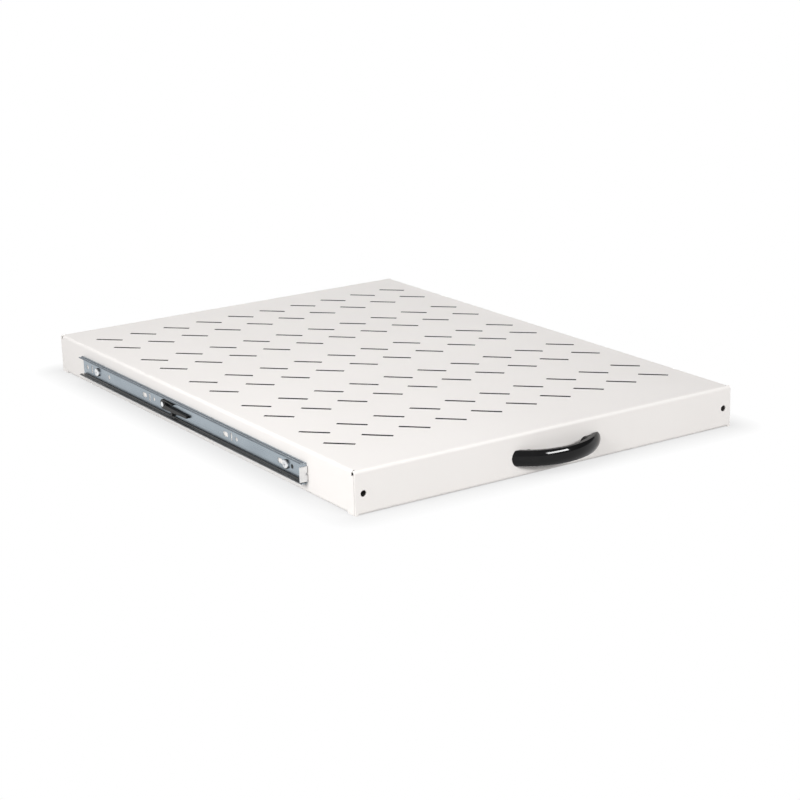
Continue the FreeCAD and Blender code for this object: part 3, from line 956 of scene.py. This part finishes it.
def floor_material(half_width, half_depth):
    """Matt floor that shows white to the eye outside a rectangle, by degrees close to it."""
    material = bpy.data.materials.new("floor")
    material.use_nodes = True
    tree = material.node_tree
    tree.nodes.clear()
    seen = seen_rays(tree)
    colour = tree.nodes.new("ShaderNodeMixRGB")
    colour.inputs["Color1"].default_value = FLOOR_COLOUR
    colour.inputs["Color2"].default_value = FLOOR_SEEN
    tree.links.new(seen, colour.inputs["Fac"])
    matt = tree.nodes.new("ShaderNodeBsdfDiffuse")
    tree.links.new(colour.outputs["Color"], matt.inputs["Color"])
    place = tree.nodes.new("ShaderNodeTexCoord").outputs["Object"]
    nothing = (0, 0, 0)
    steps = (("ABSOLUTE", nothing), ("SUBTRACT", (half_width, half_depth, 0)), ("MAXIMUM", nothing),
             ("LENGTH", nothing))
    for operation, other in steps:
        step = tree.nodes.new("ShaderNodeVectorMath")
        step.operation = operation
        step.inputs[1].default_value = other
        tree.links.new(place, step.inputs[0])
        place = step.outputs[0]
    fade = tree.nodes.new("ShaderNodeMapRange")
    fade.inputs["From Max"].default_value = GLOW_DISTANCE
    fade.inputs["To Min"].default_value = GLOW_NEAR
    tree.links.new(step.outputs["Value"], fade.inputs["Value"])
    outside = tree.nodes.new("ShaderNodeMath")
    outside.operation = "GREATER_THAN"
    outside.inputs[1].default_value = 0
    tree.links.new(step.outputs["Value"], outside.inputs[0])
    far = combine_values(tree, "MULTIPLY", fade.outputs["Result"], outside.outputs["Value"])
    far = combine_values(tree, "MULTIPLY", far, seen)
    glow = tree.nodes.new("ShaderNodeEmission")
    mix = tree.nodes.new("ShaderNodeMixShader")
    tree.links.new(far, mix.inputs["Fac"])
    tree.links.new(matt.outputs["BSDF"], mix.inputs[1])
    tree.links.new(glow.outputs["Emission"], mix.inputs[2])
    output = tree.nodes.new("ShaderNodeOutputMaterial")
    tree.links.new(mix.outputs["Shader"], output.inputs["Surface"])
    return material


def make_floor():
    """Pale floor that keeps the object's shadow and shows white to the eye a little way off the tray."""
    low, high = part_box("tray")
    middle = (low + high) / 2
    bend = BEND_RADIUS * MM
    bm = bmesh.new()
    reach = FLOOR_SIZE / 2
    bm.faces.new([bm.verts.new((x, y, 0)) for x, y in
                  ((-reach, -reach), (reach, -reach), (reach, reach), (-reach, reach))])
    mesh = bpy.data.meshes.new("floor")
    bm.to_mesh(mesh)
    bm.free()
    floor = bpy.data.objects.new("floor", mesh)
    floor.location = (middle.x, middle.y, 0)
    bpy.context.scene.collection.objects.link(floor)
    mesh.materials.append(floor_material(high.x - middle.x - bend, high.y - middle.y - bend))


def make_sky():
    """Soft light from all around, brighter on the left, with a white backdrop low down."""
    world = bpy.data.worlds.new("sky")
    bpy.context.scene.world = world
    world.use_nodes = True
    tree = world.node_tree
    coordinate = tree.nodes.new("ShaderNodeTexCoord")
    split = tree.nodes.new("ShaderNodeSeparateXYZ")
    tree.links.new(coordinate.outputs["Generated"], split.inputs["Vector"])
    across = tree.nodes.new("ShaderNodeMapRange")
    across.inputs["From Min"].default_value = -1
    tree.links.new(split.outputs["X"], across.inputs["Value"])
    ramp = tree.nodes.new("ShaderNodeValToRGB")
    ramp.color_ramp.elements[0].color = SKY_LEFT
    ramp.color_ramp.elements[1].color = SKY_RIGHT
    tree.links.new(across.outputs["Result"], ramp.inputs["Fac"])
    low = tree.nodes.new("ShaderNodeMapRange")
    low.inputs["From Min"].default_value = BACKDROP_TOP
    low.inputs["From Max"].default_value = BACKDROP_FADE
    tree.links.new(split.outputs["Z"], low.inputs["Value"])
    colour = tree.nodes.new("ShaderNodeMixRGB")
    colour.inputs["Color2"].default_value = BACKDROP_COLOUR
    backdrop = combine_values(tree, "MULTIPLY", low.outputs["Result"], seen_rays(tree))
    tree.links.new(backdrop, colour.inputs["Fac"])
    tree.links.new(ramp.outputs["Color"], colour.inputs["Color1"])
    tree.links.new(colour.outputs["Color"], tree.nodes["Background"].inputs["Color"])


def make_lamp(name, place, target, size, power, mirrored=True):
    """Rectangular softbox that faces a target, and shows in shiny surfaces where it is mirrored."""
    data = bpy.data.lights.new(name, "AREA")
    data.shape = "RECTANGLE"
    data.size, data.size_y = size
    data.energy = power
    lamp = bpy.data.objects.new(name, data)
    lamp.matrix_world = look_at(Vector(place), Vector(target))
    lamp.visible_glossy = mirrored
    bpy.context.scene.collection.objects.link(lamp)
    return lamp


def shine_on(lamp, piece):
    """Let a lamp show only as a reflection in one piece."""
    lamp.visible_diffuse = False
    receivers = bpy.data.collections.new(lamp.name)
    receivers.objects.link(piece)
    lamp.light_linking.receiver_collection = receivers


def make_camera():
    """Camera at the front left, looking down on the deck."""
    data = bpy.data.cameras.new("camera")
    data.lens = CAMERA_LENS
    data.sensor_width = SENSOR_WIDTH
    camera = bpy.data.objects.new("camera", data)
    bpy.context.scene.collection.objects.link(camera)
    camera.matrix_world = look_at(CAMERA_PLACE, CAMERA_TARGET) @ Matrix.Rotation(CAMERA_ROLL, 4, "Z")
    bpy.context.scene.camera = camera


make_tray(powder_coat(), painted_shade_coat())
rail_zinc = zinc_rail()
highlight_zinc = painted_highlight_zinc()
groove_zinc = shaded_groove_zinc()
lever_black = lever_plastic()
for name in ("left", "right"):
    make_rail(name, rail_zinc, highlight_zinc, groove_zinc)
    make_lever(name, lever_black)
make_fasteners(zinc_fastener())
handle_piece = make_handle(handle_plastic())

make_floor()
make_sky()
make_lamp("left_softbox", place=(-1.2, -0.4, 0.7), target=(-0.1, -0.04, 0), size=(0.8, 0.6), power=13.4,
          mirrored=False)
make_lamp("front_softbox", place=(0.8, -3.0, 1.3), target=(0, 0, 0), size=(1.0, 0.42), power=55,
          mirrored=False)
make_lamp("rear_softbox", place=(1.7, 2.2, 0.4), target=(0, 0, 0), size=(1.2, 0.6), power=26,
          mirrored=False)
make_lamp("upper_softbox", place=(-0.02, 0.22, 0.9), target=(-0.02, 0.22, 0), size=(0.5, 0.5), power=1.45)
handle_card = make_lamp("handle_card", place=(0.78, -2.93, 1.56), target=(0, 0, 0), size=(1.9, 0.65),
                        power=190)
shine_on(handle_card, handle_piece)
make_camera()
bpy.context.scene.view_settings.view_transform = "Standard"
